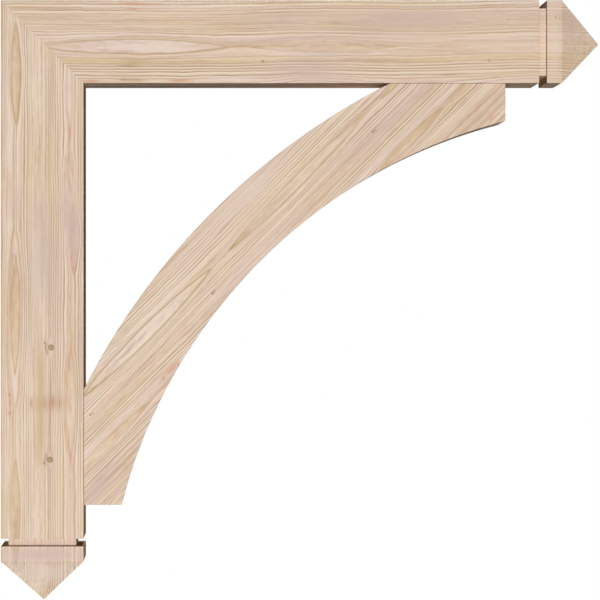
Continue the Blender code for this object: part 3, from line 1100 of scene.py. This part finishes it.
@dataclass
class Brace(Timber):
    """The arched brace between the arms, sawn to two arcs, with a square cut at each end.

    Attributes:
        corner: Where the post's inner face and the beam's underside would meet, at the front, in metres.
        reach: From that corner to its end along the beam, in metres.
        drop: From that corner to its end down the post, in metres.
        thickness: From front to back, in metres.
        seat: The length that it bears on each arm, in inches.
        toe: The square cut at each end, in inches.
        inner_rise: The height of the arc on the corner's side over its chord, in inches.
        outer_rise: The height of the arc on the open side over its chord, in inches.
        steps: Points along each arc.
    """

    corner: Vector = field(default_factory=Vector)
    reach: float = 0.7
    drop: float = 0.7
    thickness: float = 0.14
    seat: float = 7.65
    toe: float = 2.5
    inner_rise: float = 2.3
    outer_rise: float = 4.92
    steps: int = 161
    MERGE = 0.01 * MM  # corners nearer than this are one

    def mesh(self, wood: bpy.types.Material) -> bpy.types.Mesh:
        """Runs the brace's node tree and keeps the result as a plain mesh.

        Args:
            wood: Its material.

        Returns:
            The mesh.
        """
        tree = self._tree(wood)
        holder = bpy.data.objects.new("brace_rule", bpy.data.meshes.new("brace_rule"))
        bpy.context.scene.collection.objects.link(holder)
        rule = holder.modifiers.new("brace_rule", "NODES")
        rule.node_group = tree
        sizes = {
            "Reach": self.reach,
            "Drop": self.drop,
            "Thickness": self.thickness,
            "Seat": self.seat * INCH,
            "Toe": self.toe * INCH,
            "Inner Rise": self.inner_rise * INCH,
            "Outer Rise": self.outer_rise * INCH,
            "Steps": self.steps,
        }
        names = {item.name: item.identifier for item in tree.interface.items_tree if item.in_out == "INPUT"}
        for name, value in sizes.items():
            rule[names[name]] = value
        evaluated = holder.evaluated_get(bpy.context.evaluated_depsgraph_get())
        mesh = bpy.data.meshes.new_from_object(evaluated)
        holder.modifiers.remove(rule)
        bpy.data.objects.remove(holder)
        mesh.transform(Matrix.Translation(self.corner))
        return mesh

    def _tree(self, wood: bpy.types.Material) -> bpy.types.NodeTree:
        """Builds the rule of the brace's shape: drawn flat with the corner at the origin, then stood upright.

        Args:
            wood: Its material.

        Returns:
            The node tree.
        """
        names = ("Reach", "Drop", "Thickness", "Seat", "Toe", "Inner Rise", "Outer Rise")
        sockets = {name: FLOAT for name in names} | {"Steps": "NodeSocketInt"}
        tree = new_group("brace_rule", "GeometryNodeTree", sockets, {"Geometry": "NodeSocketGeometry"})
        given = add(tree, "NodeGroupInput").outputs
        low_seat = add(tree, MATH, (given["Seat"], given["Drop"]), "SUBTRACT")
        high_seat = add(tree, MATH, (given["Reach"], given["Seat"]), "SUBTRACT")
        low_end = add(tree, MATH, (given["Drop"], -1.0), "MULTIPLY")
        high_toe = add(tree, MATH, (given["Toe"], -1.0), "MULTIPLY")
        inner_low = add(tree, "ShaderNodeCombineXYZ", {"Y": low_seat})
        inner_high = add(tree, "ShaderNodeCombineXYZ", {"X": high_seat})
        outer_low = add(tree, "ShaderNodeCombineXYZ", {"X": given["Toe"], "Y": low_end})
        outer_high = add(tree, "ShaderNodeCombineXYZ", {"X": given["Reach"], "Y": high_toe})
        top_end = add(tree, "ShaderNodeCombineXYZ", {"X": given["Reach"]})
        bottom_end = add(tree, "ShaderNodeCombineXYZ", {"Y": low_end})
        outline = add(tree, "GeometryNodeJoinGeometry")
        arcs = ((inner_low, inner_high, given["Inner Rise"]), (outer_low, outer_high, given["Outer Rise"]))
        for start, end, rise in arcs:
            chord = add(tree, VECTOR, (end, start), "SUBTRACT")
            square = add(tree, VECTOR, ((0.0, 0.0, 1.0), chord), "CROSS_PRODUCT")
            square = add(tree, VECTOR, (square,), "NORMALIZE")
            lift = add(tree, VECTOR, {0: square, "Scale": rise}, "SCALE")
            middle = add(tree, VECTOR, (start, end), "ADD")
            middle = add(tree, VECTOR, (middle, (0.5, 0.5, 0.5), lift), "MULTIPLY_ADD")
            arc = {"Resolution": given["Steps"], "Start": start, "Middle": middle, "End": end}
            drawn = add(tree, "GeometryNodeCurveArc", arc, mode="POINTS")
            tree.links.new(drawn.outputs["Curve"], outline.inputs[0])
        straights = (
            (inner_high, top_end), (top_end, outer_high), (outer_low, bottom_end), (bottom_end, inner_low)
        )
        for start, end in straights:
            drawn = add(tree, "GeometryNodeCurvePrimitiveLine", {"Start": start, "End": end})
            tree.links.new(drawn.outputs["Curve"], outline.inputs[0])
        edges = add(tree, "GeometryNodeCurveToMesh", {"Curve": outline})
        edges = add(tree, "GeometryNodeMergeByDistance", {"Geometry": edges, "Distance": self.MERGE})
        loop = add(tree, "GeometryNodeMeshToCurve", {"Mesh": edges})
        front = add(tree, "GeometryNodeFillCurve", {"Curve": loop}, mode="NGONS")
        back = add(tree, "GeometryNodeFlipFaces", {"Mesh": front})
        away = add(tree, MATH, (given["Thickness"], -1.0), "MULTIPLY")
        away = add(tree, "ShaderNodeCombineXYZ", {"Z": away})
        sides = add(tree, "GeometryNodeExtrudeMesh", {"Mesh": back, "Offset": away, "Individual": False})
        solid = add(tree, "GeometryNodeJoinGeometry")
        for part in (sides, front):
            tree.links.new(part.outputs["Mesh"], solid.inputs[0])
        solid = add(tree, "GeometryNodeMergeByDistance", {"Geometry": solid, "Distance": self.MERGE})
        solid = add(tree, "GeometryNodeTransform", {"Geometry": solid, "Rotation": (math.pi / 2, 0.0, 0.0)})
        angle = add(tree, "GeometryNodeInputMeshEdgeAngle").outputs["Unsigned Angle"]
        sharp = add(tree, MATH, (angle, math.radians(self.ARRIS_ANGLE)), "GREATER_THAN")
        weight = {"Geometry": solid, "Name": "bevel_weight_edge", "Value": sharp}
        solid = add(tree, "GeometryNodeStoreNamedAttribute", weight, data_type="FLOAT", domain="EDGE")
        real = add(tree, "GeometryNodeRealizeInstances", {"Geometry": solid})
        dressed = add(tree, "GeometryNodeSetMaterial", {"Geometry": real, "Material": wood})
        add(tree, "NodeGroupOutput", {"Geometry": dressed})
        return tree


@dataclass
class Studio:
    """A pale floor far below, soft lights, and the camera.

    Attributes:
        middle: The middle of the bracket, in metres.
        top: The height of the bracket's top, in metres.
        front: Where the front faces lie along Y, in metres.
    """

    middle: Vector
    top: float
    front: float
    FLOOR_DROP = 0.82  # metres below the bracket's middle
    FLOOR_RADIUS = 3.4
    FLOOR_GLOW = 0.86
    FLOOR_ROUGHNESS = 0.9
    FLOOR_SIDES = 96
    AMBIENT = 0.035
    AMBIENT_COLOUR = (0.86, 0.97, 1.15, 1.0)  # cool, as the sky fills a shadow
    WHITE = (1.0, 1.0, 1.0, 1.0)
    FAR = 100.0  # metres that the camera sees
    SENSOR = 36.0  # millimetres
    LENS = 206.4
    DISTANCE = 5.8  # metres from the camera to the front faces
    EYE = (12.33, 19.9)  # the camera: inches out from the wall and below the top
    SHIFT = 0.1892  # share of the picture's width that the frame lies right of the camera's axis
    # Each light: where it stands from the middle, the side of its square in metres, and its power in watts.
    LIGHTS = {
        "key": ((-0.2, -20.0, -2.4), 3.2, 3510.0),
        "low": ((-0.2, -0.4, -1.8), 0.5, 5.0),
        "back": ((0.0, 6.0, 3.4), 1.0, 200.0),
        "left": ((-5.5, 0.5, -0.9), 1.2, 150.0),
        "right": ((5.0, 0.0, 5.5), 1.0, 120.0),
        "open side": ((6.0, 0.0, -1.0), 1.0, 45.0),
    }

    def build(self) -> None:
        """Builds the whole studio."""
        self._world()
        self._floor()
        for name, (place, side, power) in self.LIGHTS.items():
            self._light(name, Vector(place), side, power)
        self._camera()
        bpy.context.scene.view_settings.view_transform = "Standard"

    def _world(self) -> None:
        """Makes the backdrop white, and lets it light the bracket only a little."""
        world = bpy.data.worlds.new("backdrop")
        bpy.context.scene.world = world
        world.use_nodes = True
        world.cycles_visibility.glossy = False
        tree = world.node_tree
        tree.nodes.clear()
        seen = add(tree, "ShaderNodeLightPath").outputs["Is Camera Ray"]
        ambient = add(tree, "ShaderNodeBackground", {"Color": self.AMBIENT_COLOUR, "Strength": self.AMBIENT})
        white = add(tree, "ShaderNodeBackground", {"Color": self.WHITE, "Strength": 1.0})
        both = add(tree, "ShaderNodeMixShader", (seen, ambient, white))
        add(tree, "ShaderNodeOutputWorld", {"Surface": both})

    def _floor(self) -> None:
        """Lays the floor. It glows a little, so that it is pale as far as it goes."""
        bm = bmesh.new()
        bmesh.ops.create_circle(bm, cap_ends=True, segments=self.FLOOR_SIDES, radius=self.FLOOR_RADIUS)
        mesh = bpy.data.meshes.new("floor")
        bm.to_mesh(mesh)
        bm.free()
        floor = bpy.data.objects.new("floor", mesh)
        floor.location = self.middle - Vector((0.0, 0.0, self.FLOOR_DROP))
        bpy.context.scene.collection.objects.link(floor)
        material = bpy.data.materials.new("plain_painted_floor")
        material.use_nodes = True
        looks = {
            "Base Color": linear(Tone.FLOOR_PAINT),
            "Roughness": self.FLOOR_ROUGHNESS,
            "Emission Color": linear(Tone.FLOOR_GLOW),
            "Emission Strength": self.FLOOR_GLOW,
        }
        for name, value in looks.items():
            material.node_tree.nodes["Principled BSDF"].inputs[name].default_value = value
        mesh.materials.append(material)
        floor.visible_diffuse = False
        floor.visible_glossy = False
        floor.visible_shadow = False
        floor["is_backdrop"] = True

    def _light(self, name: str, place: Vector, side: float, power: float) -> None:
        """Hangs one square soft light that faces the bracket's middle.

        Args:
            name: Its name.
            place: Where it stands, from the middle.
            side: The side of its square, in metres.
            power: In watts.
        """
        lamp = bpy.data.lights.new(name, "AREA")
        lamp.shape = "SQUARE"
        lamp.size = side
        lamp.energy = power
        holder = bpy.data.objects.new(name, lamp)
        holder.location = self.middle + place
        holder.rotation_euler = place.to_track_quat("Z", "Y").to_euler()
        holder.visible_camera = False
        bpy.context.scene.collection.objects.link(holder)

    def _camera(self) -> None:
        """Sets the camera square to the front faces, level with the middle of the bracket's height."""
        out, down = self.EYE
        camera = bpy.data.cameras.new("camera")
        camera.lens = self.LENS
        camera.sensor_width = self.SENSOR
        camera.shift_x = self.SHIFT
        camera.clip_end = self.FAR
        holder = bpy.data.objects.new("camera", camera)
        holder.location = (out * INCH, self.front - self.DISTANCE, self.top - down * INCH)
        holder.rotation_euler = (math.pi / 2, 0.0, 0.0)
        bpy.context.scene.collection.objects.link(holder)
        bpy.context.scene.camera = holder


def main() -> None:
    """Builds the three timbers and the studio."""
    logging.basicConfig(level=logging.INFO, format="%(message)s")
    cad_box = [list(corner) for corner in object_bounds()]
    post_low, post_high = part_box("post")
    beam_low, beam_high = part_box("beam")
    brace_low, brace_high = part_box("brace")
    outer_corner = Vector((post_low.x, post_low.y, beam_high.z))
    out, up, back = Vector((1.0, 0.0, 0.0)), Vector((0.0, 0.0, 1.0)), Vector((0.0, 1.0, 0.0))
    groups = FigureGroups()
    timbers = [
        Arm(
            "post", GrainFrame(outer_corner, -up, out, back), POST_FIGURE,
            length=(beam_high.z - post_low.z) / INCH,
            set_back=(beam_high.z - post_high.z) / INCH,
        ),
        Arm(
            "beam", GrainFrame(outer_corner, out, -up, back), BEAM_FIGURE,
            length=(beam_high.x - post_low.x) / INCH,
            set_back=(beam_low.x - post_low.x) / INCH,
        ),
        Brace(
            "brace",
            GrainFrame(outer_corner, (out + up).normalized(), (out - up).normalized(), back),
            BRACE_FIGURE,
            corner=Vector((brace_low.x, brace_low.y, brace_high.z)),
            reach=brace_high.x - brace_low.x,
            drop=brace_high.z - brace_low.z,
            thickness=brace_high.y - brace_low.y,
        ),
    ]
    for timber in timbers:
        timber.finish(groups)
    middle = (Vector(cad_box[0]) + Vector(cad_box[1])) / 2
    Studio(middle, beam_high.z, post_low.y).build()


if __name__ == "__main__":
    main()
